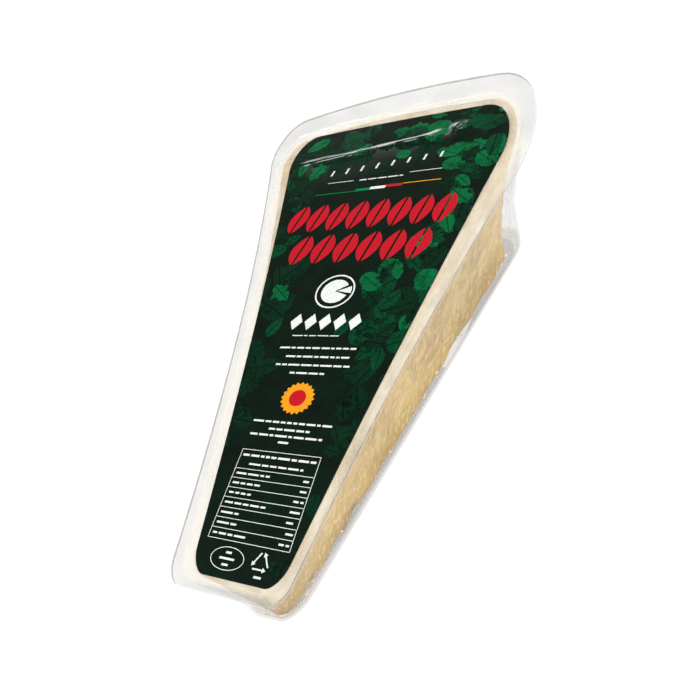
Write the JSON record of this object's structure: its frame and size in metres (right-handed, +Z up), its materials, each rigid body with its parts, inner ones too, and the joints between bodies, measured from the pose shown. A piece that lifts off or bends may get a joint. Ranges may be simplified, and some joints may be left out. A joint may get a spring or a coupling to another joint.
{
  "type": "packed cheese wedge",
  "caption": "Wedge of hard cheese in a clear tapering tray with a wide flange, closed by a clear sealed film that carries a large dark green label.",
  "frame": {"origin": "middle of the bounding box, level with the underside of the tray's base", "axes": "+Y along the wedge from its narrow end to its wide end, +X to the right seen from the narrow end, +Z up"},
  "size_m": [0.0952, 0.1738, 0.0522],
  "materials": {
    "clear_tray": "clear, glossy, faintly grey",
    "cheese": "pale straw cut faces with fine pale streaks",
    "clear_film": "clear, glossy, slightly creased",
    "printed_label": "near-black green print with a darker leaf pattern"
  },
  "bodies": {
    "root": {"tray": "clear_tray", "cheese_wedge": "cheese", "lid_film": "clear_film", "label": "printed_label"}
  },
  "joints": []
}
